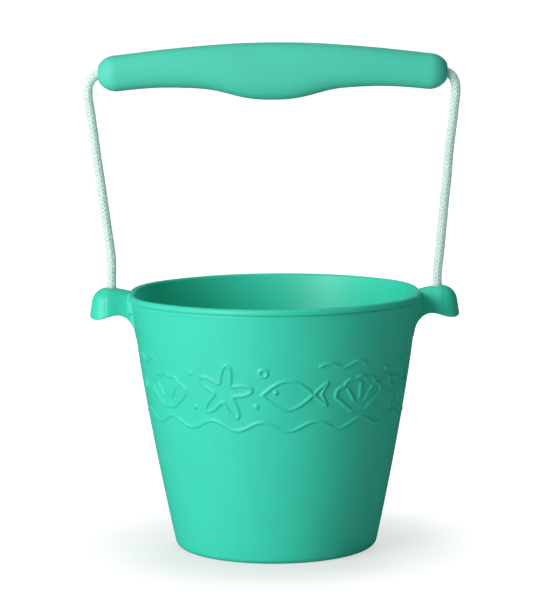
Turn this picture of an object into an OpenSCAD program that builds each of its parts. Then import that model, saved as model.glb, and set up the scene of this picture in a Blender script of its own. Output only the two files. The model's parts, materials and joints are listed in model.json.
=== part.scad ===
// Soft sand bucket with a cord bail and a moulded grip.
// Origin: centre of the base, on the floor. +Z up, +X through the right-hand lug.
// Left and right lugs, knots and cords mirror each other about X = 0, apart from the cords' own slack.

/* [Bucket] */
// Height from the floor to the crest of the rim
height = 140; // [130:1:150]
// Outside diameter over the rim bead
rim_d = 160; // [154:1:166]
// Outside diameter of the wall where it would meet the floor with a sharp corner
base_d = 109; // [100:1:116]
// Outward bow of the wall between floor and rim
wall_bow = 1.6; // [0:0.2:3]
// Thickness of the wall
wall = 2.5; // [2:0.1:3.2]
// Thickness of the floor
floor_t = 3.6; // [3:0.1:5]
// Radius of the outer corner between wall and floor
corner_r = 4; // [3.6:0.2:8]
// How far the rim bead stands out from the wall
bead_out = 1; // [0.6:0.1:1.6]
// Height of the rim bead
bead_h = 3.4; // [2.8:0.1:4.5]
// Diameter of the shallow recess under the floor
recess_d = 86; // [70:1:90]

/* [Lugs] */
// Distance from the bucket's axis to the middle of a lug's hood
hood_x = 90.5; // [90:0.5:92]
// Height of the top of the hood
hood_top = 142.5; // [142:0.5:144]
// Radius of the hood's dome
dome_r = 8.5; // [8:0.1:9]
// Radius of the hood at its lip
lip_r = 10.1; // [9.5:0.1:11]
// Thickness of the hood and neck
hood_wall = 2.3; // [1.8:0.1:2.6]
// Half of the neck's width
neck_r = 7.8; // [7:0.1:8.2]
// Half of the pad's width
pad_half = 9.4; // [9:0.1:11]
// Distance from the bucket's axis to the cord hole
hole_x = 88.5; // [88:0.5:89]
// Diameter of the cord hole
hole_d = 5.2; // [5.1:0.1:5.6]

/* [Grip] */
// Length from tip to tip, with its ends closed
grip_l = 191.5; // [184:0.5:192]
// Height of the channel above the floor
grip_z = 258.5; // [256:0.5:262]
// Diameter of the channel
channel_d = 5.6; // [5.6:0.1:7]
// Depth of the grip from front to back at its middle
grip_depth = 22; // [18:0.5:26]

/* [Cord] */
// Diameter of the cord
cord_d = 5; // [4:0.5:5]
// Height of the pivot where the cord bends above a lug
pivot_z = 148; // [147:0.5:150]
// Diameter of a stopper knot
knot_d = 10.4; // [9:0.2:10.6]

/* [Hidden] */
$fn = 96;
TEAL = [0.27, 0.77, 0.65];
TEAL_GRIP = [0.35, 0.79, 0.68];
CORD_WHITE = [0.93, 0.95, 0.93];

base_r = base_d / 2;
rim_r = rim_d / 2;
bead_z = height - bead_h;
WALL_STEPS = 12;
ARC_STEPS = 6;

// Heights and places inside a lug.
LUG_FLOOR = 110;
SKIRT_SLOPE = 18;
NECK_ROOT_X = 74;
HOLLOW_X = 81;
PAD_LOW = 128.7;
PAD_HIGH = 138.5;
KNOT_Z = 133.8;

// Cord runs as [distance from the bucket's axis, height], from the pivot up to the mouth of the grip.
LEFT_RUN = [[88.5, 148], [88.3, 154], [88.8, 162], [89.8, 170], [90.9, 178.5], [92, 187], [93, 195],
            [94.1, 203.5], [95.3, 212], [96.3, 220.5], [97.4, 229.5], [98.5, 238], [99.4, 244], [99.7, 249],
            [98.7, 253.6], [95.4, 257.3], [90, 258.5]];
RIGHT_RUN = [[88.5, 148], [89.1, 154], [90, 162], [90.7, 170], [91.5, 178], [92.2, 186], [93, 194],
             [93.9, 202.5], [94.5, 211], [95.3, 219], [96.3, 227], [97.3, 235], [98.1, 242], [98.6, 248.5],
             [97.9, 253.3], [95, 257.2], [89.5, 258.5]];
left_entry = LEFT_RUN[len(LEFT_RUN) - 1][0];
right_entry = RIGHT_RUN[len(RIGHT_RUN) - 1][0];
CORD_SIDES = 12;

// Grip outline as [distance from the middle, height of the underside, height of the top].
GRIP_OUTLINE = [[0, 243.7, 274.5], [10, 244.1, 274.4], [20, 246, 274.1], [32, 249, 273.4],
                [45, 250.3, 272.4], [60, 250.6, 271], [74, 249.8, 269.4], [84, 248.8, 268.2]];
DOME_STEPS = 9;
GRIP_SIDES = 40;
grip_end_x = GRIP_OUTLINE[len(GRIP_OUTLINE) - 1][0];
GRIP_END_DEPTH = 19.4;
MOUTH_DEPTH = 8;
MOUTH_R = 5;

// ---- shared helpers ----

function wall_r(z) =
    let (top = rim_r - bead_out, t = z / height)
    base_r + (top - base_r) * t + 4 * wall_bow * t * (1 - t);

function arc(cx, cz, r, from, to, steps) =
    [for (i = [0:steps]) let (a = from + (to - from) * i / steps) [cx + r * cos(a), cz + r * sin(a)]];

// A closed tube through rings of points; every ring has the same number of points.
module skin(rings) {
    sides = len(rings[0]);
    last = len(rings) - 1;
    faces = [
        [for (j = [0:sides - 1]) j],
        for (i = [0:last - 1], j = [0:sides - 1])
            let (k = (j + 1) % sides)
            [i * sides + j, (i + 1) * sides + j, (i + 1) * sides + k, i * sides + k],
        [for (j = [sides - 1:-1:0]) last * sides + j]
    ];
    polyhedron([for (ring = rings) each ring], faces, convexity = 6);
}

module both_sides() {
    children();
    mirror([1, 0, 0]) children();
}

// ---- bucket ----

module bucket_profile() {
    inner_corner = corner_r - wall;
    base_slope = atan((wall_r(corner_r) - wall_r(0)) / corner_r);
    corner_x = base_r - corner_r * tan(45 - base_slope / 2);
    lip_half = (bead_out + wall) / 2;
    lip_x = rim_r - lip_half;
    inside_r = wall_r(floor_t) - wall;
    polygon(concat(
        [[0, 1], [recess_d / 2 - 1, 1], [recess_d / 2, 0]],
        arc(corner_x, corner_r, corner_r, -90, -base_slope, ARC_STEPS),
        [for (i = [1:WALL_STEPS]) let (z = 8 + (bead_z - 8) * i / WALL_STEPS) [wall_r(z), z]],
        [[rim_r - 0.3, bead_z + 0.3], [rim_r, bead_z + 1]],
        arc(lip_x, height - lip_half, lip_half, 0, 180, 2 * ARC_STEPS),
        [for (i = [WALL_STEPS:-1:1]) let (z = 8 + (bead_z - 8) * i / WALL_STEPS) [wall_r(z) - wall, z]],
        arc(inside_r - inner_corner, floor_t + inner_corner, inner_corner, -12, -90, ARC_STEPS),
        [[0, floor_t]]
    ));
}

// The side view of a lug's underside: everything below this line is open.
module below_lug() {
    polygon([[60, 100], [60, 117], [75.6, 117], [76.3, 119], [77.3, 121.7], [79.5, 124.5], [81.8, 126.6], [84.3, 127.8],
             [88, 127.7], [91.2, 126.8], [94.5, 125.8], [97, 125.6], [99.3, 125.9], [100.8, 126.8],
             [112, 126.8], [112, 100]]);
}

module hood(gap) {
    dome_z = hood_top - dome_r;
    translate([hood_x, 0, 0])
        rotate_extrude()
            polygon(concat(
                [[0, LUG_FLOOR], [lip_r - gap, LUG_FLOOR], [lip_r - gap, 127.8], [lip_r - gap - 0.7, dome_z - 1.6]],
                arc(0, dome_z, dome_r - gap, SKIRT_SLOPE, 90, 2 * ARC_STEPS)
            ));
}

module neck(gap, from_x) {
    neck_z = hood_top - 1.2 - neck_r;
    r = neck_r - gap;
    translate([from_x, 0, neck_z])
        rotate([0, 90, 0])
            cylinder(h = hood_x - from_x, r = r);
    translate([from_x, -r, LUG_FLOOR])
        cube([hood_x - from_x, 2 * r, neck_z - LUG_FLOOR]);
}

// The pad at a neck's root, which carries the rim bead's face straight down.
module root_pad() {
    intersection() {
        rotate_extrude($fn = 180)
            polygon([[60, PAD_LOW], [rim_r, PAD_LOW], [rim_r, PAD_HIGH], [60, PAD_HIGH]]);
        translate([60, -pad_half, PAD_LOW])
            cube([30, 2 * pad_half, PAD_HIGH - PAD_LOW]);
    }
}

module lug() {
    difference() {
        union() {
            hood(0);
            neck(0, NECK_ROOT_X);
            root_pad();
        }
        hood(hood_wall);
        neck(hood_wall, HOLLOW_X);
        translate([0, 30, 0])
            rotate([90, 0, 0])
                linear_extrude(60)
                    below_lug();
        translate([hole_x, 0, KNOT_Z])
            cylinder(h = hood_top - KNOT_Z + 1, d = hole_d);
        rotate_extrude()
            polygon([[0, 100], [wall_r(100) - wall / 2, 100], [wall_r(height) - wall / 2, height],
                     [wall_r(height) - wall / 2, height + 9], [0, height + 9]]);
    }
}

module bucket_shell() {
    color(TEAL)
    union() {
        rotate_extrude($fn = 180)
            bucket_profile();
        both_sides() lug();
    }
}

// ---- grip ----

function between(list, x, i = 0) =
    i >= len(list) - 2 || x <= list[i + 1][0]
        ? let (t = (x - list[i][0]) / (list[i + 1][0] - list[i][0])) list[i] * (1 - t) + list[i + 1] * t
        : between(list, x, i + 1);

function grip_ring(x) =
    let (
        run = abs(x),
        dome = max(0, (run - grip_end_x) / (grip_l / 2 - grip_end_x)),
        shrink = sqrt(1 - pow(min(dome, 1), 2)),
        row = between(GRIP_OUTLINE, min(run, grip_end_x)),
        mid = (row[1] + row[2]) / 2,
        tall = (row[2] - row[1]) / 2 * shrink,
        deep = (GRIP_END_DEPTH + (grip_depth - GRIP_END_DEPTH) * pow(cos(90 * run / (grip_l / 2)), 2)) / 2 * shrink
    )
    [for (j = [0:GRIP_SIDES - 1]) let (a = -360 * j / GRIP_SIDES) [x, deep * cos(a), mid + tall * sin(a)]];

module handle_grip() {
    dome_len = grip_l / 2 - grip_end_x;
    body_x = [for (i = [0:len(GRIP_OUTLINE) - 1]) GRIP_OUTLINE[i][0]];
    dome_x = [for (i = [1:DOME_STEPS]) grip_end_x + dome_len * sin(85 * i / DOME_STEPS)];
    half = concat(body_x, dome_x);
    stations = concat([for (i = [len(half) - 1:-1:1]) -half[i]], half);
    color(TEAL_GRIP)
    difference() {
        skin([for (x = stations) grip_ring(x)]);
        translate([-grip_l, 0, grip_z])
            rotate([0, 90, 0])
                cylinder(h = 2 * grip_l, d = channel_d);
        both_sides()
            translate([grip_l / 2 - MOUTH_DEPTH, 0, grip_z])
                rotate([0, 90, 0])
                    cylinder(h = MOUTH_DEPTH + 0.1, r1 = channel_d / 2, r2 = MOUTH_R);
    }
}

// ---- cord ----

// Rings square to a run that lies in the XZ plane; side is 1 for the right-hand cord, -1 for the left.
function run_rings(run, side) =
    [for (i = [0:len(run) - 1])
        let (
            before = run[max(i - 1, 0)],
            after = run[min(i + 1, len(run) - 1)],
            way = i == 0 ? [0, 1] : i == len(run) - 1 ? [-1, 0] : (after - before) / norm(after - before)
        )
        [for (j = [0:CORD_SIDES - 1])
            let (a = side * 360 * j / CORD_SIDES, out = cord_d / 2 * cos(a), fore = cord_d / 2 * sin(a))
            [side * (run[i][0] + way[1] * out), fore, run[i][1] - way[0] * out]]];

module cord_run_left() {
    color(CORD_WHITE) skin(run_rings(LEFT_RUN, -1));
}

module cord_run_right() {
    color(CORD_WHITE) skin(run_rings(RIGHT_RUN, 1));
}

module cord_in_grip() {
    color(CORD_WHITE)
    translate([-left_entry, 0, grip_z])
        rotate([0, 90, 0])
            cylinder(h = left_entry + right_entry, d = cord_d);
}

// The cord's end: up through the lug to the pivot, and the stopper knot inside the hood.
module stopper_knot() {
    color(CORD_WHITE)
    translate([hole_x, 0, KNOT_Z]) {
        cylinder(h = pivot_z - KNOT_Z, d = cord_d);
        sphere(d = knot_d);
    }
}

module stopper_knot_right() {
    stopper_knot();
}

module stopper_knot_left() {
    mirror([1, 0, 0]) stopper_knot();
}

bucket_shell();
handle_grip();
cord_run_left();
cord_run_right();
cord_in_grip();
stopper_knot_left();
stopper_knot_right();
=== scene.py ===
"""A soft sand bucket with a moulded grip on a braided cord bail, dressed round its CAD frame.

Everything is in metres, in the part's own frame: +Z up, +X through the right-hand lug, floor at Z = 0.
The camera and the cord come first, then the knots, the bucket, the grip, the stage and the lights.
"""

import json
import math

import bpy
import numpy as np
from mathutils import Matrix, Vector


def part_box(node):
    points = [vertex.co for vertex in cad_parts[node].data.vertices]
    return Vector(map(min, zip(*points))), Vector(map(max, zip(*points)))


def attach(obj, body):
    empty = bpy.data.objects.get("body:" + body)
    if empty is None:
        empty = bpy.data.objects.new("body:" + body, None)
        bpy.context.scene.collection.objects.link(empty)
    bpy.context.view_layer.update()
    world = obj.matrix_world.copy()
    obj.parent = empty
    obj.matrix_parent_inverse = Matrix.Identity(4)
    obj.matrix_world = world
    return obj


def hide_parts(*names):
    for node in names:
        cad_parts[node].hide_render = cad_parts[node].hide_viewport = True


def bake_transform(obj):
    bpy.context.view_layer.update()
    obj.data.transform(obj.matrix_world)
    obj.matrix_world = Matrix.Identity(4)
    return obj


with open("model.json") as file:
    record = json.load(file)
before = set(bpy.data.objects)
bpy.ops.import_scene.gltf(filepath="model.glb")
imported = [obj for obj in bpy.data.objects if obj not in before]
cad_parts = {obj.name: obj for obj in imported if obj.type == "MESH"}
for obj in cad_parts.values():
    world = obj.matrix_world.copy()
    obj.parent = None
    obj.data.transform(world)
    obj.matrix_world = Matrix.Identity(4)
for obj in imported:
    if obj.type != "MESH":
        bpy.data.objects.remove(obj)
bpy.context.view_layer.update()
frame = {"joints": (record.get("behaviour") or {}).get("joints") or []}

MM = 0.001
TAU = 2 * math.pi

# ---- places and sizes taken from the frame ----

JOINTS = {joint["name"]: joint for joint in frame["joints"]}
CHANNEL_Z = JOINTS["grip_turn"]["pos_m"][2]
shell_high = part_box("bucket_shell")[1]
grip_low, grip_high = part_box("handle_grip")
cord_low, cord_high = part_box("cord_in_grip")
knot_low, knot_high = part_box("stopper_knot_right")
RIM_R = shell_high.y
HOOD_TOP = shell_high.z
HOOD_RISE = 2.5 * MM
RIM_TOP = HOOD_TOP - HOOD_RISE
CORD_R = (cord_high.y - cord_low.y) / 2
HOLE_X = (knot_low.x + knot_high.x) / 2
KNOT_Z = knot_low.z + (knot_high.y - knot_low.y) / 2


# ---- meshes from arrays ----

def add_mesh(name, points, faces, material, body=None):
    """A smooth-shaded mesh object, riding on a body if one is named."""
    mesh = bpy.data.meshes.new(name)
    mesh.from_pydata(np.asarray(points).tolist(), [], faces)
    mesh.polygons.foreach_set("use_smooth", [True] * len(mesh.polygons))
    mesh.materials.append(material)
    mesh.update()
    piece = bpy.data.objects.new(name, mesh)
    bpy.context.scene.collection.objects.link(piece)
    if body:
        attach(piece, body)
    return piece


def add_values(piece, name, values):
    """A number at each point of a mesh, for its material to read."""
    attribute = piece.data.attributes.new(name, "FLOAT", "POINT")
    attribute.data.foreach_set("value", np.asarray(values, np.float32).ravel())


def grid_faces(rows, columns, closed_rows=False):
    """Quads between rows of points that each close into a ring."""
    here = np.arange(rows * columns).reshape(rows, columns)
    after = np.roll(here, -1, axis=0)
    if not closed_rows:
        here, after = here[:-1], after[:-1]
    beside, beside_after = np.roll(here, -1, axis=1), np.roll(after, -1, axis=1)
    return np.stack([here, beside, beside_after, after], axis=-1).reshape(-1, 4).tolist()


def smooth_step(low, high, value):
    """0 below low, 1 above high, and a soft slope between them."""
    share = np.clip((value - low) / (high - low), 0, 1)
    return share * share * (3 - 2 * share)


def cubic_through(places, values, wanted):
    """Natural cubic spline through values at places, read at the wanted places."""
    places, values = np.asarray(places, float), np.asarray(values, float)
    gaps = np.diff(places)
    last = len(places) - 1
    system = np.zeros((last + 1, last + 1))
    right = np.zeros_like(values)
    system[0, 0] = system[last, last] = 1
    for i in range(1, last):
        system[i, i - 1:i + 2] = gaps[i - 1], 2 * (gaps[i - 1] + gaps[i]), gaps[i]
        right[i] = 6 * ((values[i + 1] - values[i]) / gaps[i] - (values[i] - values[i - 1]) / gaps[i - 1])
    bend = np.linalg.solve(system, right)
    wanted = np.asarray(wanted, float)
    at = np.clip(np.searchsorted(places, wanted) - 1, 0, last - 1)
    gap = gaps[at]
    before, after = wanted - places[at], places[at + 1] - wanted
    if values.ndim > 1:
        gap, before, after = gap[:, None], before[:, None], after[:, None]
    return (
        (bend[at] * after ** 3 + bend[at + 1] * before ** 3) / (6 * gap)
        + (values[at] / gap - bend[at] * gap / 6) * after
        + (values[at + 1] / gap - bend[at + 1] * gap / 6) * before
    )


def run_lengths(points):
    """How far along its line each point lies."""
    return np.concatenate([[0], np.cumsum(np.linalg.norm(np.diff(points, axis=0), axis=1))])


def smooth_curve(points, count):
    """A smooth curve through given points, read closely."""
    points = np.asarray(points, float)
    places = run_lengths(points)
    return cubic_through(places, points, np.linspace(0, places[-1], count))


def at_lengths(points, wanted):
    """Points of a line at the wanted distances along it."""
    places = run_lengths(points)
    return np.stack([np.interp(wanted, places, points[:, i]) for i in range(3)], axis=1)


def carried_frames(line, first_side):
    """Two directions square to a line at each point, carried along it without twist."""
    ways = np.gradient(line, axis=0)
    ways /= np.linalg.norm(ways, axis=1, keepdims=True)
    side = np.asarray(first_side, float)
    sides = np.zeros_like(line)
    for i, way in enumerate(ways):
        side = side - way * (side @ way)
        side = side / np.linalg.norm(side)
        sides[i] = side
    return sides, np.cross(ways, sides)


# ---- camera ----

CAMERA_AT = (-2.5 * MM, -1500 * MM, 331.9 * MM)
CAMERA_PITCH = math.radians(7.63)
CAMERA_ROLL = math.radians(-0.45)
CAMERA_LENS = 163
CLIP_NEAR = 0.1
CLIP_FAR = 20


def add_camera():
    """A long lens at the bucket's front, looking a little down on it."""
    data = bpy.data.cameras.new("camera")
    data.lens = CAMERA_LENS
    data.clip_start = CLIP_NEAR
    data.clip_end = CLIP_FAR
    camera = bpy.data.objects.new("camera", data)
    turn = Matrix.Rotation(math.pi / 2 - CAMERA_PITCH, 4, "X") @ Matrix.Rotation(CAMERA_ROLL, 4, "Z")
    camera.matrix_world = Matrix.Translation(CAMERA_AT) @ turn
    bpy.context.scene.collection.objects.link(camera)
    bpy.context.scene.camera = camera


# ---- material helpers ----

# The colour sockets of a Mix node, which shares its socket names between numbers, vectors and colours.
MIX_FIRST, MIX_SECOND, MIX_RESULT = 6, 7, 2


def new_material(name, colour, roughness):
    """A Principled material, its node tree and its shader."""
    material = bpy.data.materials.new(name)
    material.use_nodes = True
    tree = material.node_tree
    shader = tree.nodes["Principled BSDF"]
    shader.inputs["Base Color"].default_value = (*colour, 1)
    shader.inputs["Roughness"].default_value = roughness
    return material, tree, shader


def add_node(tree, kind, **values):
    """A shader node; plain names set its properties and names with a capital set its sockets."""
    node = tree.nodes.new("ShaderNode" + kind)
    for name, value in values.items():
        if name[0].isupper():
            node.inputs[name.replace("_", " ")].default_value = value
        else:
            setattr(node, name, value)
    return node


def noise(tree, place, scale, detail, roughness=0.5):
    """Noise at a scale in cycles per metre, read at a place."""
    node = add_node(tree, "TexNoise", Scale=scale, Detail=detail, Roughness=roughness)
    tree.links.new(place, node.inputs["Vector"])
    return node.outputs["Fac"]


def remap(tree, value, low, high):
    """Stretches a value that runs from 0 to 1 to run from low to high."""
    node = add_node(tree, "MapRange", To_Min=low, To_Max=high)
    tree.links.new(value, node.inputs["Value"])
    return node.outputs["Result"]


def smooth_ramp(tree, value, low, high):
    """0 below low, 1 above high, with a soft slope between them."""
    node = add_node(tree, "MapRange", interpolation_type="SMOOTHSTEP", From_Min=low, From_Max=high)
    tree.links.new(value, node.inputs["Value"])
    return node.outputs["Result"]


def mixed(tree, share, first, second):
    """A colour between two, by a share that is linked."""
    node = add_node(tree, "Mix", data_type="RGBA")
    node.inputs[MIX_FIRST].default_value = (*first, 1)
    node.inputs[MIX_SECOND].default_value = (*second, 1)
    tree.links.new(share, node.inputs["Factor"])
    return node.outputs[MIX_RESULT]


def put_together(tree, first, second, kind="ADD"):
    """One value from two linked ones, by a Math node's operation."""
    node = add_node(tree, "Math", operation=kind)
    tree.links.new(first, node.inputs[0])
    tree.links.new(second, node.inputs[1])
    return node.outputs["Value"]


def bump(tree, shader, height, depth):
    """Dents the shader's normal by a height that runs from 0 to 1, depth metres deep."""
    node = add_node(tree, "Bump", Strength=1, Distance=depth)
    tree.links.new(height, node.inputs["Height"])
    tree.links.new(node.outputs["Normal"], shader.inputs["Normal"])


# ---- braided cord ----

CARRIERS = 8
BRAID_LAY = 18.2 * MM
STRAND_CROWN = 0.36 * MM
STRAND_WEAVE = 0.24 * MM
BRAID_PROUD = 0.1 * MM
BRAID_CORE = CORD_R + BRAID_PROUD - STRAND_CROWN - STRAND_WEAVE
CORD_SIDES = 64
# The cord's white carries a faint mint tint as painted bounce light from the bucket.
CORD_WHITE = (0.73, 0.79, 0.775)
# Painted shade for the grooves between the strands, tinted mint as painted bounce light from the bucket.
CORD_GROOVE_PAINTED_SHADE = (0.4, 0.6, 0.54)
CORD_ROUGHNESS = 0.72
CROWN_SHADED, CROWN_OPEN = 0.15, 0.75
WORN_SCALE = 900
WORN_SHARE = 0.12
THREAD_SCALE = 9
FLUFF_SCALE = 5200
FLUFF_SHARE = 0.5
FIBRE_DEPTH = 0.06 * MM
LIGHT_REACH = 6 * MM
CORD_SHEEN = 0.35
SHEEN_ROUGHNESS = 0.5
CORD_GLOSS = 0.2

# The cord's runs from a pivot up to a mouth of the grip: distance from the bucket's axis, height.
LEFT_RUN = [
    (0.0885, 0.148), (0.0883, 0.154), (0.0888, 0.162), (0.0898, 0.17), (0.0909, 0.1785), (0.092, 0.187),
    (0.093, 0.195), (0.0941, 0.2035), (0.0953, 0.212), (0.0963, 0.2205), (0.0974, 0.2295), (0.0985, 0.238),
    (0.0994, 0.244), (0.0997, 0.249), (0.0987, 0.2536), (0.0954, 0.2573), (0.09, 0.2585),
]
RIGHT_RUN = [
    (0.0885, 0.148), (0.0891, 0.154), (0.09, 0.162), (0.0907, 0.17), (0.0915, 0.178), (0.0922, 0.186),
    (0.093, 0.194), (0.0939, 0.2025), (0.0945, 0.211), (0.0953, 0.219), (0.0963, 0.227), (0.0973, 0.235),
    (0.0981, 0.242), (0.0986, 0.2485), (0.0979, 0.2533), (0.095, 0.2572), (0.0895, 0.2585),
]
CORD_FOOT = [(HOLE_X, KNOT_Z + 5 * MM), (HOLE_X, KNOT_Z + 10 * MM)]
HIDDEN_X = 84 * MM
FINE_STEP = 0.26 * MM
HIDDEN_STEP = 1.5 * MM
FADE_TO_HIDDEN = 3 * MM
LEVEL_WITHIN = 0.05 * MM
ROUTE_COUNT = 4000
WAVER_STEP = 6 * MM
WAVER = 0.06
WAVER_SEED = 7
END_ROUND = 1.2 * MM
END_DRAWN_IN = 0.75
FIBRES_APART = 5


def braid_material():
    """White braided cord: fine fibres along each strand, and painted shade between the strands, tinted mint
    as painted bounce light from the bucket.
    """
    material, tree, shader = new_material("cord_braid", CORD_WHITE, CORD_ROUGHNESS)
    crown = add_node(tree, "Attribute", attribute_name="crown").outputs["Fac"]
    fibre = add_node(tree, "Attribute", attribute_name="fibre").outputs["Fac"]
    place = add_node(tree, "TexCoord").outputs["Object"]
    worn = remap(tree, noise(tree, place, WORN_SCALE, 3), -WORN_SHARE, WORN_SHARE)
    # Painted shade: the grooves between strands take the darker groove colour and the crowns the white; the
    # worn noise shifts the share at random.
    open_share = put_together(tree, smooth_ramp(tree, crown, CROWN_SHADED, CROWN_OPEN), worn)
    tree.links.new(mixed(tree, open_share, CORD_GROOVE_PAINTED_SHADE, CORD_WHITE), shader.inputs["Base Color"])
    across = add_node(tree, "CombineXYZ")
    tree.links.new(fibre, across.inputs["X"])
    threads = noise(tree, across.outputs["Vector"], THREAD_SCALE, 2)
    fluff = remap(tree, noise(tree, place, FLUFF_SCALE, 2), 0, FLUFF_SHARE)
    bump(tree, shader, put_together(tree, threads, fluff), FIBRE_DEPTH)
    shader.inputs["Sheen Weight"].default_value = CORD_SHEEN
    shader.inputs["Sheen Roughness"].default_value = SHEEN_ROUGHNESS
    shader.inputs["Specular IOR Level"].default_value = CORD_GLOSS
    shader.inputs["Subsurface Weight"].default_value = 1
    shader.inputs["Subsurface Radius"].default_value = (1, 1, 1)
    shader.inputs["Subsurface Scale"].default_value = LIGHT_REACH
    return material


def braid(angle, along, slack):
    """Radius, crown height and fibre place on a braid of strands two over, two under."""
    weave = STRAND_WEAVE * np.cos(CARRIERS / 2 * angle)
    radii, crowns, fibres = [], [], []
    for turn in (1, -1):
        strand = CARRIERS * (angle / TAU + turn * along / BRAID_LAY) + slack * turn
        offset = 2 * (strand - np.round(strand))
        crown = np.sqrt(np.maximum(1 - offset ** 2, 0))
        radii.append(BRAID_CORE + turn * weave + STRAND_CROWN * crown)
        crowns.append(crown)
        fibres.append(offset + FIBRES_APART * np.round(strand) * turn)
    upper = radii[0] > radii[1]
    lift = (np.maximum(*radii) - BRAID_CORE) / (STRAND_CROWN + STRAND_WEAVE)
    return np.maximum(*radii), lift * np.where(upper, *crowns), np.where(upper, *fibres)


def end_faces(rings):
    """Triangles that close a tube's ends on the two points that follow its rings."""
    start = rings * CORD_SIDES
    last = start - CORD_SIDES
    faces = []
    for i in range(CORD_SIDES):
        after = (i + 1) % CORD_SIDES
        faces.append((start, after, i))
        faces.append((start + 1, last + i, last + after))
    return faces


def braided_tube(name, line, first_side, material, thickness=1.0, body=None):
    """A braid swept along a line, its ends drawn in and closed."""
    sides, ups = carried_frames(line, first_side)
    along = run_lengths(line)[:, None]
    angle = (np.arange(CORD_SIDES) * TAU / CORD_SIDES)[None, :]
    waver_at = np.arange(0, along[-1, 0] + 2 * WAVER_STEP, WAVER_STEP)
    slack = np.random.default_rng(WAVER_SEED).normal(0, WAVER, len(waver_at))
    radius, crown, fibre = braid(angle, along, np.interp(along, waver_at, slack))
    ends = np.minimum(along, along[-1] - along) / END_ROUND
    radius = thickness * radius * np.sqrt(1 - (1 - np.clip(ends, 0, 1)) ** 2 * END_DRAWN_IN)
    offsets = np.cos(angle)[..., None] * sides[:, None] + np.sin(angle)[..., None] * ups[:, None]
    rings = line[:, None] + radius[..., None] * offsets
    points = np.concatenate([rings.reshape(-1, 3), line[:1], line[-1:]])
    faces = grid_faces(len(line), CORD_SIDES) + end_faces(len(line))
    piece = add_mesh(name, points, faces, material, body)
    add_values(piece, "crown", np.append(crown.ravel(), (0.5, 0.5)))
    add_values(piece, "fibre", np.append(fibre.ravel(), (0, 0)))
    return piece


def cord_route():
    """The cord's centreline from the left knot, over and through the grip, to the right knot."""
    left = [(-x, 0, z) for x, z in CORD_FOOT + LEFT_RUN]
    inside = [(x, 0, CHANNEL_Z) for x in np.linspace(-HIDDEN_X, HIDDEN_X, 9)]
    right = [(x, 0, z) for x, z in reversed(CORD_FOOT + RIGHT_RUN)]
    close = smooth_curve(left + inside + right, ROUTE_COUNT)
    places = run_lengths(close)
    hidden = places[np.abs(close[:, 2] - CHANNEL_Z) < LEVEL_WITHIN]
    hidden_from, hidden_to = hidden[0] + FADE_TO_HIDDEN, hidden[-1] - FADE_TO_HIDDEN
    wanted = np.concatenate([
        np.arange(0, hidden_from, FINE_STEP),
        np.arange(hidden_from, hidden_to, HIDDEN_STEP),
        np.linspace(hidden_to, places[-1], int((places[-1] - hidden_to) / FINE_STEP)),
    ])
    return at_lengths(close, wanted)


def add_cord():
    """The one cord, from knot to knot over and through the grip, with its two knots."""
    material = braid_material()
    route = cord_route()
    cord = braided_tube("bail_cord", route, (0, 1, 0), material)
    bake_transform(cord)
    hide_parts("cord_run_left", "cord_run_right", "cord_in_grip")
    knots = [add_knot(side, material) for side in (-1, 1)]


# ---- stopper knots ----

# A small overhand knot from where the cord comes down through its hole to its cut end, round the
# middle of the knot, for the right-hand lug.
KNOT_WAY = np.array([
    (0, 0, 7), (0, 0, 4.5), (0.8, 0.6, 1), (2.4, 2, -2.6), (0, 3.6, -2.4), (-3, 2, -0.6),
    (-3.2, -2, 0.8), (0, -3.6, 1.6), (3.3, -1.8, 1.2), (2.6, 1.6, 0.8), (-0.8, 0.4, -1.4),
    (-1, -0.4, -3.6), (-0.8, -0.4, -5.4),
]) * MM
KNOT_SQUEEZE = 0.84
KNOT_COUNT = 800


def add_knot(side, material):
    """The knot inside a hood that stops the cord from pulling out."""
    way = KNOT_WAY * (side, side, 1) + (side * HOLE_X, 0, KNOT_Z)
    close = smooth_curve(way, KNOT_COUNT)
    length = run_lengths(close)[-1]
    line = at_lengths(close, np.linspace(0, length, int(length / FINE_STEP)))
    name = "stopper_knot_tied_" + ("right" if side > 0 else "left")
    knot = braided_tube(name, line, (0, 1, 0), material, KNOT_SQUEEZE, "bucket")
    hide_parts("stopper_knot_right" if side > 0 else "stopper_knot_left")
    return knot


# ---- bucket: shape of the wall ----

BEAD_OUT = 1 * MM
BEAD_H = 3.4 * MM
BASE_R = 54.5 * MM
WALL_BOW = 1.6 * MM
WALL = 2.5 * MM
FLOOR_T = 3.6 * MM
CORNER_R = 4 * MM
RECESS_R = 43 * MM
RECESS_DEEP = 1 * MM
GROOVE = 0.35 * MM
INSIDE_SLOPE = 11
BEAD_Z = RIM_TOP - BEAD_H
LIP_R = (BEAD_OUT + WALL) / 2
# The mark of the mould's gate: distance from the axis, height over the recess.
GATE_MARK = [(0.4 * MM, 0.5 * MM), (1 * MM, 0.45 * MM), (1.6 * MM, 0.1 * MM), (2.4 * MM, 0)]
HUB_R = GATE_MARK[0][0]
# The recess's edge: distance out from RECESS_R, share of RECESS_DEEP.
RECESS_EDGE = [
    (-2 * MM, 1), (-1.4 * MM, 0.93), (-1 * MM, 0.72), (-0.6 * MM, 0.35), (-0.3 * MM, 0.1), (0.1 * MM, 0),
]
# The groove under the bead: distance out from the wall, height over BEAD_Z.
GROOVE_LINE = [
    (-0.02 * MM, -0.9 * MM), (-0.12 * MM, -0.6 * MM), (-GROOVE, -0.3 * MM), (-GROOVE, -0.05 * MM),
    (-0.1 * MM, 0.12 * MM),
]
# The bead's lower edge: distance out from RIM_R, height over BEAD_Z.
SHOULDER_LINE = [
    (-0.75 * MM, 0.18 * MM), (-0.4 * MM, 0.25 * MM), (-0.15 * MM, 0.45 * MM), (-0.03 * MM, 0.8 * MM),
]


def wall_r(z):
    """Radius of the outer wall at a height, with its slight outward bow."""
    share = z / RIM_TOP
    return BASE_R + (RIM_R - BEAD_OUT - BASE_R) * share + 4 * WALL_BOW * share * (1 - share)


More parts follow.
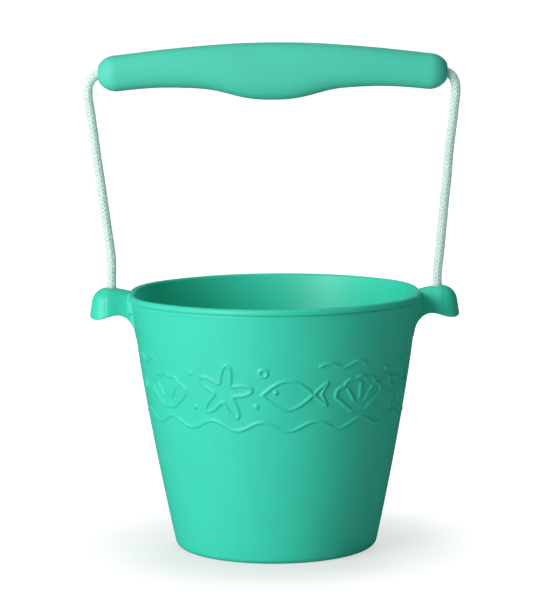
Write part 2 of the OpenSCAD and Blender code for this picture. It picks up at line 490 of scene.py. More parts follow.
def arc(centre, radius, start, stop, steps):
    """Points on an arc in the radius and height plane, angles in degrees."""
    angles = np.radians(np.linspace(start, stop, steps + 1))
    return [(centre[0] + radius * math.cos(a), centre[1] + radius * math.sin(a)) for a in angles]


def straight(start, stop, steps):
    """Points between two corners, both left out."""
    return [tuple(np.array(start) + (np.array(stop) - start) * i / steps) for i in range(1, steps)]


def wall_line(bottom, top, inset, steps):
    """Points up or down the wall at an inset from its outside."""
    return [(wall_r(z) - inset, z) for z in np.linspace(bottom, top, steps + 1)]


def underside_profile():
    """From the middle of the recess out to the foot of the wall."""
    gate = [(out, RECESS_DEEP + rise) for out, rise in GATE_MARK]
    step = [(RECESS_R + out, RECESS_DEEP * share) for out, share in RECESS_EDGE]
    flat = straight(gate[-1], step[0], 12)
    slope = math.degrees(math.atan((wall_r(CORNER_R) - wall_r(0)) / CORNER_R))
    corner_x = BASE_R - CORNER_R * math.tan(math.radians(45 - slope / 2))
    ring = straight(step[-1], (corner_x, 0), 4)
    return gate + flat + step + ring + arc((corner_x, CORNER_R), CORNER_R, -90, -slope, 10)


def rim_profile():
    """The groove, the bead and the rounded lip, from the outside over to the inside."""
    lip = (RIM_R - LIP_R, RIM_TOP - LIP_R)
    wall_top = wall_r(BEAD_Z)
    groove = [(wall_top + out, BEAD_Z + rise) for out, rise in GROOVE_LINE]
    shoulder = [(RIM_R + out, BEAD_Z + rise) for out, rise in SHOULDER_LINE]
    return groove + shoulder + arc(lip, LIP_R, 0, 180, 16)


def inside_profile():
    """Down the inside wall, round the corner and across the floor to the middle."""
    corner = CORNER_R - WALL
    reach = wall_r(FLOOR_T + corner) - WALL - corner * math.cos(math.radians(INSIDE_SLOPE))
    wall = wall_line(BEAD_Z - 1 * MM, FLOOR_T + corner + 1 * MM, WALL, 26)
    bend = arc((reach, FLOOR_T + corner), corner, -INSIDE_SLOPE, -90, 8)
    floor = straight((reach, FLOOR_T), (HUB_R, FLOOR_T), 16)
    return wall + bend + floor + [(HUB_R, FLOOR_T)]


# ---- bucket: raised sea drawing on the front ----

STROKE_HALF = 1.2 * MM
STROKE_HIGH = 0.75 * MM
STROKE_FLAT = 0.25
DRAWING_R = 71 * MM
WAVE_STEP = 1.2 * MM
TINY = 1e-12


def ring_line(centre, radius, steps):
    """A closed round outline."""
    return [(centre[0] + radius * math.cos(a), centre[1] + radius * math.sin(a))
            for a in np.linspace(0, TAU, steps + 1)]


def wave_line(start, stop, height, length, swing):
    """A rolling wave line."""
    return [(s, height + swing * math.sin(TAU * (s - start) / length))
            for s in np.linspace(start, stop, int((stop - start) / WAVE_STEP))]


def starfish_line(centre, radius, turn):
    """A five-armed star with round tips and round notches."""
    line = []
    for a in np.linspace(0, TAU, 121):
        reach = radius * (0.36 + 0.64 * ((1 + math.cos(5 * a)) / 2) ** 1.5)
        line.append((centre[0] + reach * math.cos(a + turn), centre[1] + reach * math.sin(a + turn)))
    return line


def shell_lines(centre, radius):
    """A scallop: a fan edge of five lobes, two straight sides, and ribs."""
    spread = math.radians(62)

    def place(share, reach):
        tilt = share * spread
        return centre[0] + reach * math.sin(tilt), centre[1] - 0.8 * radius + reach * math.cos(tilt)

    def lobe(share):
        return radius * (1.55 + 0.13 * abs(math.sin(2.5 * math.pi * (share + 1))))

    edge = [place(share, lobe(share)) for share in np.linspace(-1, 1, 61)]
    reaches = radius * np.linspace(0.62, 1.3, 6)
    ribs = [[place(share, reach) for reach in reaches] for share in (-0.55, 0, 0.55)]
    foot_z = centre[1] - 0.82 * radius
    foot = [(centre[0] - 0.42 * radius, foot_z), (centre[0] + 0.42 * radius, foot_z)]
    return [[foot[0]] + edge + [foot[1]], foot] + ribs


def fish_lines(centre, length, height):
    """A plain fish: two bowed sides that cross before the tail, and an eye."""
    body = []
    for share in np.linspace(-1, 1, 40):
        x = centre[0] + share * length / 2
        body.append((x, height / 2 * math.sin(math.pi * (share + 1) / 2 * 1.28)))
    upper = [(x, centre[1] + y) for x, y in body]
    lower = [(x, centre[1] - y) for x, y in body]
    tail = [upper[-1], (upper[-1][0] - 0.09 * length, centre[1]), lower[-1]]
    eye = (centre[0] - 0.29 * length, centre[1] + 0.1 * height)
    return [upper, lower, tail, ring_line(eye, 0.35 * MM, 6)]


def drawing_lines():
    """Every stroke of the drawing, as points of distance round the wall and height."""
    lines = [
        wave_line(-98 * MM, 98 * MM, 77 * MM, 28 * MM, 2.4 * MM),
        wave_line(-94 * MM, -72 * MM, 108 * MM, 15 * MM, 1.5 * MM),
        wave_line(23 * MM, 49 * MM, 109 * MM, 17 * MM, 1.4 * MM),
        starfish_line((-27 * MM, 95 * MM), 15 * MM, math.radians(80)),
        starfish_line((81 * MM, 94 * MM), 13 * MM, math.radians(20)),
        ring_line((-6 * MM, 106 * MM), 2 * MM, 14),
        ring_line((-90 * MM, 93 * MM), 2.4 * MM, 14),
        ring_line((-10 * MM, 88 * MM), 0.5 * MM, 6),
        ring_line((65 * MM, 104 * MM), 0.5 * MM, 6),
        ring_line((-45 * MM, 86 * MM), 0.5 * MM, 6),
        ring_line((-46 * MM, 104 * MM), 0.5 * MM, 6),
    ]
    lines += shell_lines((-65 * MM, 93 * MM), 10.6 * MM)
    lines += shell_lines((47 * MM, 92.5 * MM), 11 * MM)
    lines += fish_lines((10 * MM, 94 * MM), 34 * MM, 15.5 * MM)
    return lines


def stroke_distance(s, z):
    """Distance from points on the wall to the nearest stroke."""
    places = np.stack([s, z], axis=-1).reshape(-1, 2)
    nearest = np.full(len(places), np.inf)
    for line in drawing_lines():
        line = np.asarray(line)
        box_low, box_high = line.min(axis=0) - 2 * STROKE_HALF, line.max(axis=0) + 2 * STROKE_HALF
        near = np.flatnonzero(((places > box_low) & (places < box_high)).all(axis=1))
        for start, stop in zip(line[:-1], line[1:]):
            way = stop - start
            share = np.clip((places[near] - start) @ way / max(way @ way, TINY), 0, 1)
            gap = np.linalg.norm(places[near] - start - share[:, None] * way, axis=1)
            nearest[near] = np.minimum(nearest[near], gap)
    return nearest.reshape(s.shape)


def drawing_height(angle, z):
    """How far the drawing stands out of the wall."""
    gap = stroke_distance(angle * DRAWING_R, z)
    return STROKE_HIGH * (1 - smooth_step(STROKE_FLAT * STROKE_HALF, STROKE_HALF, gap))


# ---- bucket: body mesh ----

COLUMNS = 228
FINE = 4
DRAWING_LOW = 72 * MM
DRAWING_HIGH = 113 * MM
DRAWING_ROWS = 23
DRAWING_COLUMNS = 108


def outer_points(angle, z, raised):
    """Points on the outer wall; angle 0 faces the front, and raised stands square to the wall."""
    step = 0.1 * MM
    slope = (wall_r(z + step) - wall_r(z - step)) / (2 * step)
    tilt = np.arctan(slope)
    radius = wall_r(z) + raised * np.cos(tilt)
    return np.stack([radius * np.sin(angle), -radius * np.cos(angle), z - raised * np.sin(tilt)], axis=-1)


def body_profile():
    """The whole outline, and which of its rows bound the drawing."""
    low = underside_profile()
    wall_low = wall_line(low[-1][1], DRAWING_LOW, 0, 20)[1:]
    drawing = wall_line(DRAWING_LOW, DRAWING_HIGH, 0, DRAWING_ROWS)[1:]
    wall_high = wall_line(DRAWING_HIGH, BEAD_Z - 1.3 * MM, 0, 9)[1:]
    first = len(low) + len(wall_low) - 1
    return np.array(low + wall_low + drawing + wall_high + rim_profile() + inside_profile()), first


def border_points(index):
    """The new points along each coarse edge of a patch's border, by that edge's two ends."""
    split = {}
    for border in (index[0], index[-1], index[:, 0], index[:, -1]):
        for start in range(0, len(border) - 1, FINE):
            line = border[start:start + FINE + 1].tolist()
            split[line[0], line[-1]] = line[1:-1]
            split[line[-1], line[0]] = line[-2:0:-1]
    return split


def with_border(face, split):
    """A face with the new points put in along its edges."""
    corners = []
    for start, stop in zip(face, face[1:] + face[:1]):
        corners += [start] + split.get((start, stop), [])
    return corners


def add_fine_patch(points, faces, grid, first_row, first_column):
    """Replaces the drawing's coarse faces with fine ones that share their border's corners."""
    rows, columns = DRAWING_ROWS * FINE + 1, DRAWING_COLUMNS * FINE + 1
    z = np.linspace(DRAWING_LOW, DRAWING_HIGH, rows)[:, None]
    angle = (np.arange(columns)[None, :] / FINE + first_column - COLUMNS // 2) * TAU / COLUMNS
    angle, z = np.broadcast_arrays(angle, z)
    fine = outer_points(angle, z, drawing_height(angle, z))
    index = len(points) + np.arange(rows * columns).reshape(rows, columns)
    corner = grid[first_row:, first_column:][:DRAWING_ROWS + 1, :DRAWING_COLUMNS + 1]
    for edge in (0, -1):
        index[edge, ::FINE] = corner[edge]
        index[::FINE, edge] = corner[:, edge]
    split = border_points(index)
    covered = {int((first_row + row) * COLUMNS + first_column + column)
               for row in range(DRAWING_ROWS) for column in range(DRAWING_COLUMNS)}
    kept = [with_border(face, split) for number, face in enumerate(faces) if number not in covered]
    patch = np.stack([index[:-1, :-1], index[:-1, 1:], index[1:, 1:], index[1:, :-1]], axis=-1)
    return np.concatenate([points, fine.reshape(-1, 3)]), kept + patch.reshape(-1, 4).tolist()


def without_strays(points, faces):
    """Drops points that no face uses."""
    used = np.zeros(len(points), bool)
    for face in faces:
        used[face] = True
    number = np.cumsum(used) - 1
    return points[used], [[int(number[i]) for i in face] for face in faces]


def body_mesh():
    """Points and faces of the turned shell, closed at the middle of its floor and its underside."""
    profile, first_row = body_profile()
    angle = (np.arange(COLUMNS) - COLUMNS // 2) * TAU / COLUMNS
    radius, z = profile[:, 0][:, None], profile[:, 1][:, None]
    rings = np.stack([radius * np.sin(angle), -radius * np.cos(angle), z + 0 * angle], axis=-1)
    points = rings.reshape(-1, 3)
    grid = np.arange(len(points)).reshape(len(profile), COLUMNS)
    faces = grid_faces(len(profile), COLUMNS)
    first_column = (COLUMNS - DRAWING_COLUMNS) // 2
    points, faces = add_fine_patch(points, faces, grid, first_row, first_column)
    below, above = (0, 0, profile[0, 1]), (0, 0, profile[-1, 1])
    points = np.concatenate([points, [below, above]])
    last = len(profile) - 1
    for i in range(COLUMNS):
        after = (i + 1) % COLUMNS
        faces.append([len(points) - 2, int(grid[0, after]), int(grid[0, i])])
        faces.append([len(points) - 1, int(grid[last, i]), int(grid[last, after])])
    return without_strays(points, faces)


# ---- bucket: lugs, as a field that is below 0 inside the solid ----

HOOD_X = 90.6 * MM
DOME_R = 8.8 * MM
DOME_Z = HOOD_TOP - DOME_R
SKIRT_SLOPE = math.radians(9)
HOOD_WALL = 2.3 * MM
NECK_R = 7.4 * MM
NECK_ROOT_X = 79 * MM
NECK_ROOT_TOP = RIM_TOP + 0.4 * MM
PAD_HALF = 9.2 * MM
PAD_LOW = 128.7 * MM
PAD_HIGH = 138.6 * MM
HOLE_R = CORD_R + 0.15 * MM
HOLLOW_X = 81.5 * MM
SEAM_DEEP = 0.03 * MM
# Fillets and rounded edges, by what they soften.
NECK_SOFT = 0.8 * MM
ROOT_SOFT = 1.4 * MM
EDGE_SOFT = 0.9 * MM
HOLLOW_SOFT = 2.5 * MM
PAD_SOFT = 0.7 * MM
WALL_SOFT = 1.6 * MM
HOLE_SOFT = 0.7 * MM
# How deep a lug's root lies in the wall below its pad, and how much less deep above it.
ROOT_DEEP = 2 * MM
ROOT_RISE = 1.5 * MM
# A lug's fillets end here: distance to each side of its middle, and height.
LUG_SIDE = 12.4 * MM
LUG_FOOT = 115 * MM
# A sloping side's field grows a little faster than the distance to it, and these shares even it out.
NECK_EVEN = 0.97
WALL_EVEN = 0.985
RELAX_ROUNDS = 6
RELAX_SHARE = 0.5
LEAST_SLOPE = 0.1
LUG_STEP = 0.5 * MM
LUG_LOW = (71.5 * MM, -14 * MM, 112.5 * MM)
LUG_HIGH = (102.5 * MM, 14 * MM, 144.5 * MM)
# The edge of a lug's underside, seen from the front: distance from the bucket's axis, height.
UNDERSIDE = np.array([
    (73, 110), (75.6, 117), (76.3, 119.2), (77.5, 121.9), (79.4, 124.6), (81.8, 126.8), (84.5, 127.9),
    (88, 127.7), (91.2, 126.8), (94.5, 125.9), (97.3, 125.6), (99.6, 126), (101.4, 127), (104, 129.5),
]) * MM


def smaller(a, b, soft):
    """The lesser of two fields, joined by a fillet."""
    share = np.clip(0.5 + 0.5 * (b - a) / soft, 0, 1)
    return b + (a - b) * share - soft * share * (1 - share)


def larger(a, b, soft):
    """The greater of two fields, with its edge rounded."""
    return -smaller(-a, -b, soft)


def hood_field(x, y, z):
    """A dome that runs on into a sloping skirt."""
    reach = np.hypot(x - HOOD_X, y)
    rise = z - DOME_Z
    dome = np.hypot(reach, rise) - DOME_R
    skirt = reach * math.cos(SKIRT_SLOPE) + rise * math.sin(SKIRT_SLOPE) - DOME_R
    on_dome = rise * math.cos(SKIRT_SLOPE) > reach * math.sin(SKIRT_SLOPE)
    return np.where(on_dome, dome, skirt)


def neck_field(x, y, z):
    """An arched neck that widens and rises from the rim into the hood."""
    grow = smooth_step(NECK_ROOT_X, HOOD_X, x)
    reach = NECK_R + (DOME_R - NECK_R) * grow
    climb = np.sin(math.pi / 2 * np.clip((x - NECK_ROOT_X) / (HOOD_X - NECK_ROOT_X), 0, 1))
    rise = z - (NECK_ROOT_TOP + (HOOD_TOP - NECK_ROOT_TOP) * climb - reach)
    flare = grow * math.tan(SKIRT_SLOPE) * np.maximum(-rise, 0)
    arch = np.where(rise > 0, np.hypot(y, rise), np.abs(y) - flare) - reach
    return np.maximum(arch * NECK_EVEN, x - HOOD_X)


def wall_field(x, y, z):
    """Distance out from the bucket's outer wall."""
    return (np.hypot(x, y) - wall_r(z)) * WALL_EVEN


def pad_field(x, y, z):
    """The pad at a neck's root, which carries the rim bead's face straight down."""
    face = np.hypot(x, y) - RIM_R
    sides = np.abs(y) - PAD_HALF
    ends = np.maximum(PAD_LOW - z, z - PAD_HIGH)
    return larger(larger(face, sides, PAD_SOFT), ends, PAD_SOFT)


def underside_field(x, z):
    """Above 0 below the lug's lower edge."""
    step = 0.2 * MM
    edge = cubic_through(UNDERSIDE[:, 0], UNDERSIDE[:, 1], x)
    slope = (cubic_through(UNDERSIDE[:, 0], UNDERSIDE[:, 1], x + step) - edge) / step
    return (edge - z) / np.sqrt(1 + slope ** 2)


def lug_field(x, y, z):
    """One right-hand lug with its hollow and hole, filleted to a skin just inside the wall."""
    outside = smaller(hood_field(x, y, z), neck_field(x, y, z), NECK_SOFT)
    wall = wall_field(x, y, z)
    root = wall_r(z) - ROOT_DEEP + ROOT_RISE * smooth_step(PAD_LOW, PAD_HIGH, z) - np.hypot(x, y)
    below = underside_field(x, z)
    shell = larger(larger(outside, root, ROOT_SOFT), below, EDGE_SOFT)
    hollow = larger(outside + HOOD_WALL, HOLLOW_X - x, HOLLOW_SOFT)
    shell = larger(shell, -hollow, EDGE_SOFT)
    shell = smaller(shell, pad_field(x, y, z), PAD_SOFT)
    skin = np.maximum(wall + SEAM_DEEP, z - RIM_TOP + LIP_R)
    solid = smaller(shell, skin, WALL_SOFT)
    hole = HOLE_R - np.hypot(x - HOLE_X, y)
    solid = larger(solid, hole, HOLE_SOFT)
    inside_wall = -(wall + WALL / 2)
    edge = np.maximum(np.abs(y) - LUG_SIDE, LUG_FOOT - z)
    return np.maximum(np.maximum(solid, inside_wall), edge)


def edge_crossings(field, inside, axis):
    """Which steps along an axis the surface crosses, and where it crosses each."""
    first = [slice(None)] * 3
    second = [slice(None)] * 3
    first[axis], second[axis] = slice(0, -1), slice(1, None)
    f0, f1 = field[tuple(first)], field[tuple(second)]
    cross = inside[tuple(first)] != inside[tuple(second)]
    share = np.where(cross, f0 / np.where(cross, f0 - f1, 1), 0)
    counts = [np.arange(n) for n in f0.shape]
    place = np.stack(np.meshgrid(*counts, indexing="ij"), axis=-1).astype(float)
    place[..., axis] += share
    return cross, place * cross[..., None]


def cell_crossings(field, inside):
    """The sum and count of crossings round each cell, and the crossed steps along each axis."""
    cells = np.array(field.shape) - 1
    total, count = np.zeros((*cells, 3)), np.zeros(cells)
    crossings = []
    for axis in range(3):
        cross, place = edge_crossings(field, inside, axis)
        crossings.append(cross)
        b, c = [other for other in range(3) if other != axis]
        for i, j in ((0, 0), (0, 1), (1, 0), (1, 1)):
            part = [slice(None)] * 3
            part[b], part[c] = slice(i, i + cells[b]), slice(j, j + cells[c])
            total += place[tuple(part)]
            count += cross[tuple(part)]
    return total, count, crossings


def axis_quads(cross, axis, number, inside):
    """The quad round each crossed step along an axis, facing out of the solid."""
    b, c = (axis + 1) % 3, (axis + 2) % 3
    cells = number.shape
    at = np.argwhere(cross)
    at = at[(at[:, b] > 0) & (at[:, c] > 0) & (at[:, b] < cells[b]) & (at[:, c] < cells[c])]
    corners = []
    for down_b, down_c in ((1, 1), (0, 1), (0, 0), (1, 0)):
        cell = at.copy()
        cell[:, b] -= down_b
        cell[:, c] -= down_c
        corners.append(number[tuple(cell.T)])
    quads = np.stack(corners, axis=1)
    leaving = inside[tuple(at.T)]
    return np.where(leaving[:, None], quads, quads[:, ::-1])


def surface_net(field, low, step):
    """A closed quad mesh round the part of a sampled field that is below 0."""
    inside = field < 0
    total, count, crossings = cell_crossings(field, inside)
    crossed = count > 0
    number = np.full(count.shape, -1)
    number[crossed] = np.arange(crossed.sum())
    points = total[crossed] / count[crossed][:, None] * step + low
    faces = [axis_quads(cross, axis, number, inside) for axis, cross in enumerate(crossings)]
    return points, np.concatenate(faces)


def neighbour_means(points, faces):
    """The mean of each point's neighbours along edges."""
    total, count = np.zeros_like(points), np.zeros(len(points))
    for start, stop in ((0, 1), (1, 2), (2, 3), (3, 0)):
        for a, b in ((start, stop), (stop, start)):
            np.add.at(total, faces[:, a], points[faces[:, b]])
            np.add.at(count, faces[:, a], 1)
    return total / count[:, None]


def onto_surface(points, field, steps):
    """Moves points onto the place where a field is 0."""
    reach = 0.02 * MM
    for _ in range(steps):
        value = field(*points.T)
        slope = np.stack([
            (field(*(points + shift).T) - field(*(points - shift).T)) / (2 * reach)
            for shift in np.eye(3) * reach
        ], axis=1)
        move = value[:, None] * slope / np.maximum((slope ** 2).sum(axis=1), LEAST_SLOPE)[:, None]
        points = points - np.clip(move, -LUG_STEP / 2, LUG_STEP / 2)
    return points


def lug_mesh():
    """Points and faces of the right-hand lug."""
    axes = [np.arange(a, b, LUG_STEP) for a, b in zip(LUG_LOW, LUG_HIGH)]
    field = lug_field(*np.meshgrid(*axes, indexing="ij"))
    points, faces = surface_net(field, np.array(LUG_LOW), LUG_STEP)
    for _ in range(RELAX_ROUNDS):
        points = points + RELAX_SHARE * (neighbour_means(points, faces) - points)
        points = onto_surface(points, lug_field, 2)
    return points, faces


# ---- bucket: put together ----

SET_LOW = 95 * MM
SET_FLAT = 0.9 * MM
SET_FULL = 1.5 * MM
# In degrees round from a lug: where the rim is fullest, and how widely each part is spread.
SET_FULL_AT = 28
SET_FULL_SPREAD = 15
SET_FLAT_SPREAD = 12


def soft_set(points):
    """The soft rim's lasting set: a little flatter at the lugs and fuller beside them."""
    reach = np.maximum(np.hypot(points[:, 0], points[:, 1]), MM)
    side = np.degrees(np.arctan2(np.abs(points[:, 1]), np.abs(points[:, 0])))
    full = SET_FULL * np.exp(-((side - SET_FULL_AT) / SET_FULL_SPREAD) ** 2)
    flat = SET_FLAT * np.exp(-(side / SET_FLAT_SPREAD) ** 2)
    share = smooth_step(SET_LOW, RIM_TOP, points[:, 2]) * (1 - smooth_step(RIM_R, HOLE_X - CORD_R, reach))
    moved = points.copy()
    moved[:, :2] *= (1 + share * (full - flat) / reach)[:, None]
    return moved


def joined(base, *others):
    """The base and the others as one solid, the others then removed."""
    for other in others:
        union = base.modifiers.new("union", "BOOLEAN")
        union.operation = "UNION"
        union.solver = "MANIFOLD"
        union.object = other
    evaluated = base.evaluated_get(bpy.context.evaluated_depsgraph_get())
    solid = bpy.data.meshes.new_from_object(evaluated)
    base.modifiers.clear()
    base.data = solid
    for other in others:
        bpy.data.objects.remove(other)


def add_bucket():
    """The one-piece moulded shell: turned wall and floor, raised drawing, and two hollow lugs."""
    material = silicone_material("silicone_body", BODY_MINT, BODY_ROUGHNESS)
    points, faces = body_mesh()
    shell = add_mesh("bucket_moulding", points, faces, material)
    lug_points, lug_faces = lug_mesh()
    right = add_mesh("lug_right", lug_points, lug_faces.tolist(), material)
    left = add_mesh("lug_left", lug_points * (-1, 1, 1), lug_faces[:, ::-1].tolist(), material)
    bpy.context.view_layer.update()
    joined(shell, right, left)
    places = np.empty(3 * len(shell.data.vertices))
    shell.data.vertices.foreach_get("co", places)
    shell.data.vertices.foreach_set("co", soft_set(places.reshape(-1, 3)).ravel())
    shell.data.polygons.foreach_set("use_smooth", [True] * len(shell.data.polygons))
    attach(shell, "bucket")
    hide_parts("bucket_shell")


# ---- grip ----

# Outline from the front: distance from the middle, height of the underside, height of the top.
GRIP_OUTLINE = np.array([
    (0, 243.7, 274.5), (10, 244.1, 274.4), (20, 246, 274.1), (32, 249, 273.4), (45, 250.3, 272.4),
    (60, 250.6, 271), (74, 249.8, 269.4), (84, 248.8, 268.2),
]) * MM
DOME_PAST_MOUTH = 0.6 * MM
GRIP_HALF = grip_high.x + DOME_PAST_MOUTH
GRIP_DEPTH = (grip_high.y - grip_low.y) / 2
GRIP_END_DEPTH = 9.7 * MM
GRIP_SQUARENESS = 2.6
GRIP_SQUARE_AT = 8 * MM
GRIP_SIDES = 96
CHANNEL_R = 2.8 * MM
MOUTH_R = 3.3 * MM
MOUTH_LIP = 0.8 * MM
MOUTH_DEPTH = 9 * MM


def grip_outside():
    """The outside from the middle to a mouth, as x, middle, half height and half depth."""
    dome_start = GRIP_OUTLINE[-1, 0]
    body = np.linspace(0, dome_start, 60)
    mouth_share = math.sqrt(1 - ((MOUTH_R + MOUTH_LIP) / GRIP_END_DEPTH) ** 2)
    turn = np.linspace(0, math.asin(mouth_share), 22)[1:]
    x = np.concatenate([body, dome_start + (GRIP_HALF - dome_start) * np.sin(turn)])
    shrink = np.concatenate([np.ones(len(body)), np.cos(turn)])
    places, low, high = np.concatenate([GRIP_OUTLINE[:0:-1] * (-1, 1, 1), GRIP_OUTLINE]).T
    reach = np.minimum(x, dome_start)
    under, over = cubic_through(places, low, reach), cubic_through(places, high, reach)
    swell = np.cos(math.pi / 2 * x / GRIP_HALF) ** 2
    depth = (GRIP_END_DEPTH + (GRIP_DEPTH - GRIP_END_DEPTH) * swell) * shrink
    return np.stack([x, (under + over) / 2, (over - under) / 2 * shrink, depth], axis=1)


def grip_mouth(tip_x, tip_r):
    """A mouth's round lip, then its flare down to the channel."""
    lip = [(tip_x - MOUTH_LIP * (1 - math.cos(a)), tip_r + (MOUTH_R - tip_r) * math.sin(a))
           for a in np.linspace(0, math.pi / 2, 8)[1:]]
    flare_x = tip_x - MOUTH_LIP
    flare = [(flare_x - share * MOUTH_DEPTH, CHANNEL_R + (MOUTH_R - CHANNEL_R) * (1 - share) ** 2)
             for share in np.linspace(0, 1, 9)[1:]]
    return [(x, CHANNEL_Z, radius, radius) for x, radius in lip + flare]


def grip_rings():
    """Rings over the outside from end to end, then back through the channel."""
    outer = grip_outside()
    half = np.concatenate([outer, grip_mouth(outer[-1, 0], outer[-1, 2])])
    other = half[::-1] * (-1, 1, 1, 1)
    inner = np.linspace(half[-1, 0], other[0, 0], 40)[1:-1]
    channel = [(x, CHANNEL_Z, CHANNEL_R, CHANNEL_R) for x in inner]
    return np.concatenate([other[:-1], half, channel])


def add_grip():
    """The moulded grip, with the cord's channel right through it."""
    material = silicone_material("silicone_grip", GRIP_MINT, GRIP_ROUGHNESS)
    x, middle, tall, deep = [column[:, None] for column in grip_rings().T]
    angle = (np.arange(GRIP_SIDES) * TAU / GRIP_SIDES)[None, :]
    power = 2 / (2 + (GRIP_SQUARENESS - 2) * smooth_step(MOUTH_R + MOUTH_LIP, GRIP_SQUARE_AT, tall))
    forward, up = np.cos(angle), np.sin(angle)
    forward = np.sign(forward) * np.abs(forward) ** power
    up = np.sign(up) * np.abs(up) ** power
    points = np.stack([x + 0 * angle, deep * forward, middle + tall * up], axis=-1).reshape(-1, 3)
    faces = grid_faces(len(x), GRIP_SIDES, closed_rows=True)
    grip = add_mesh("grip_moulding", points, faces, material, "grip")
    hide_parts("handle_grip")


# ---- silicone ----

BODY_MINT = (0.045, 0.63, 0.45)
GRIP_MINT = (0.08, 0.6, 0.445)
BODY_ROUGHNESS = 0.46
GRIP_ROUGHNESS = 0.56
HANDLED_SWING = 0.06
HANDLED_SCALE = 160
MOTTLE_DEEP = 0.96
MOTTLE_SCALE = 45
GRAIN_SCALE = 2600
GRAIN_DEPTH = 0.012 * MM
SILICONE_GLOSS = 0.35


def silicone_material(name, colour, roughness):
    """Satin moulded silicone: faint mottling and a fine mould grain."""
    material, tree, shader = new_material(name, colour, roughness)
    place = add_node(tree, "TexCoord").outputs["Object"]
    cloud = smooth_ramp(tree, noise(tree, place, MOTTLE_SCALE, 4), 0.3, 0.7)
    deep = tuple(MOTTLE_DEEP * value for value in colour)
    tree.links.new(mixed(tree, cloud, deep, colour), shader.inputs["Base Color"])
    handled = noise(tree, place, HANDLED_SCALE, 5, 0.6)
    worn = remap(tree, handled, roughness - HANDLED_SWING, roughness + HANDLED_SWING)
    tree.links.new(worn, shader.inputs["Roughness"])
    bump(tree, shader, noise(tree, place, GRAIN_SCALE, 3, 0.6), GRAIN_DEPTH)
    shader.inputs["Specular IOR Level"].default_value = SILICONE_GLOSS
    return material


# ---- stage and lights ----

FLOOR_GREY = (0.6, 0.6, 0.6)
SURROUND = 0.2
SURROUND_TINT = (0.4, 1, 0.94, 1)
SURROUND_IN_GLOSS = 0.03
SURROUND_SEEN = 1.12
PAPER_ROUGHNESS = 0.9
PAPER_NEAR = 50 * MM
PAPER_FAR = 170 * MM
PAPER_GLOW = 0.5
PAPER_SEEN = 1.22
UNDER_R = 48 * MM
UNDER_GLOW = 0.22
FLOOR_REACH = 4
# Each light's name, place, size and power.
LIGHTS = [
    ("key", (-1.32, -1.35, 0.62), 1.1, 38),
    ("top", (-0.2, 0.1, 1.8), 1.2, 6),
    ("back", (0.3, 1.7, 0.9), 1.1, 20),
]
LIT_POINT = (0, 0, 130 * MM)


def glow_share(tree):
    """How much of the paper is glow: to the camera it grows with distance, and under the base a dim glow
    reaches every ray as painted light on the bucket's underside.
    """
    place = add_node(tree, "TexCoord").outputs["Object"]
    reach = add_node(tree, "VectorMath", operation="LENGTH")
    tree.links.new(place, reach.inputs[0])
    fade = add_node(tree, "MapRange", interpolation_type="SMOOTHSTEP", From_Min=PAPER_NEAR,
                    From_Max=PAPER_FAR, To_Min=PAPER_GLOW, To_Max=1)
    tree.links.new(reach.outputs["Value"], fade.inputs["Value"])
    # Under the base the paper glows to every ray: painted light for the bucket's underside.
    under = add_node(tree, "MapRange", From_Min=UNDER_R, From_Max=UNDER_R + MM,
                     To_Min=UNDER_GLOW, To_Max=0)
    tree.links.new(reach.outputs["Value"], under.inputs["Value"])
    seen = add_node(tree, "LightPath").outputs["Is Camera Ray"]
    outside = put_together(tree, seen, fade.outputs["Result"], "MULTIPLY")
    return put_together(tree, outside, under.outputs["Result"], "MAXIMUM")


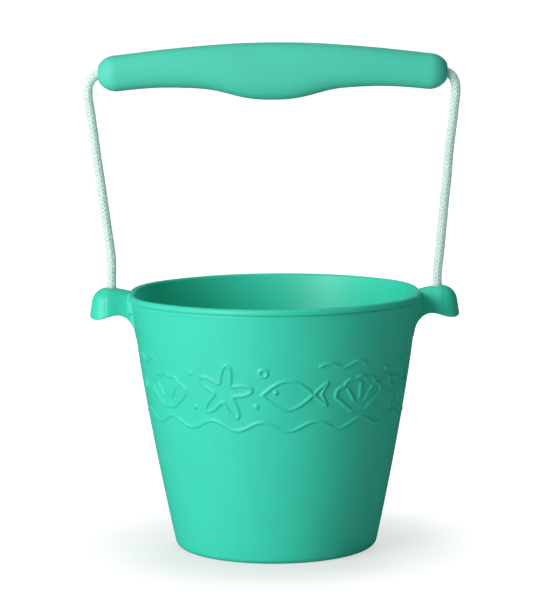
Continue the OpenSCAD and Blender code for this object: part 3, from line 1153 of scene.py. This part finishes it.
def stage_material():
    """White paper with faint shadows near the object, and clear from below."""
    material, tree, shader = new_material("stage_paper", FLOOR_GREY, PAPER_ROUGHNESS)
    shader.inputs["Specular IOR Level"].default_value = 0
    glow = add_node(tree, "Emission", Color=(1, 1, 1, 1), Strength=PAPER_SEEN)
    paper = add_node(tree, "MixShader")
    tree.links.new(glow_share(tree), paper.inputs[0])
    tree.links.new(shader.outputs["BSDF"], paper.inputs[1])
    tree.links.new(glow.outputs["Emission"], paper.inputs[2])
    clear = add_node(tree, "MixShader")
    tree.links.new(add_node(tree, "NewGeometry").outputs["Backfacing"], clear.inputs[0])
    tree.links.new(paper.outputs[0], clear.inputs[1])
    tree.links.new(add_node(tree, "BsdfTransparent").outputs[0], clear.inputs[2])
    tree.links.new(clear.outputs[0], tree.nodes["Material Output"].inputs["Surface"])
    return material


def add_stage():
    """A pale floor under the bucket, left out of its gloss."""
    points = [(x * FLOOR_REACH, y * FLOOR_REACH, 0) for x, y in ((-1, -1), (1, -1), (1, 1), (-1, 1))]
    floor = add_mesh("studio_floor", points, [(0, 1, 2, 3)], stage_material())
    floor.visible_glossy = False


def add_light(name, place, size, power):
    """A square soft light that faces the bucket's upper half."""
    data = bpy.data.lights.new(name, "AREA")
    data.size = size
    data.energy = power
    lamp = bpy.data.objects.new(name, data)
    lamp.location = place
    lamp.rotation_euler = (Vector(LIT_POINT) - Vector(place)).to_track_quat("-Z", "Y").to_euler()
    bpy.context.scene.collection.objects.link(lamp)
    return lamp


def add_surround():
    """White to the camera, and a dim surround that lights the object but hardly shows in its gloss."""
    world = bpy.data.worlds.new("surround")
    bpy.context.scene.world = world
    world.use_nodes = True
    tree = world.node_tree
    rays = add_node(tree, "LightPath")
    surround = tree.nodes["Background"]
    surround.inputs["Color"].default_value = SURROUND_TINT
    surround.inputs["Strength"].default_value = SURROUND
    for ray, strength in (("Is Glossy Ray", SURROUND_IN_GLOSS), ("Is Camera Ray", SURROUND_SEEN)):
        other = add_node(tree, "Background", Color=(1, 1, 1, 1), Strength=strength)
        choice = add_node(tree, "MixShader")
        tree.links.new(rays.outputs[ray], choice.inputs[0])
        tree.links.new(surround.outputs[0], choice.inputs[1])
        tree.links.new(other.outputs[0], choice.inputs[2])
        surround = choice
    tree.links.new(surround.outputs[0], tree.nodes["World Output"].inputs["Surface"])


def add_lights():
    """A large soft key from the front left, a weak one overhead and one behind for the far side."""
    lamps = [add_light(*light) for light in LIGHTS]
    lamps[-1].visible_glossy = False
    bpy.context.scene.view_settings.view_transform = "Standard"


add_camera()
add_cord()
add_bucket()
add_grip()
add_stage()
add_surround()
add_lights()
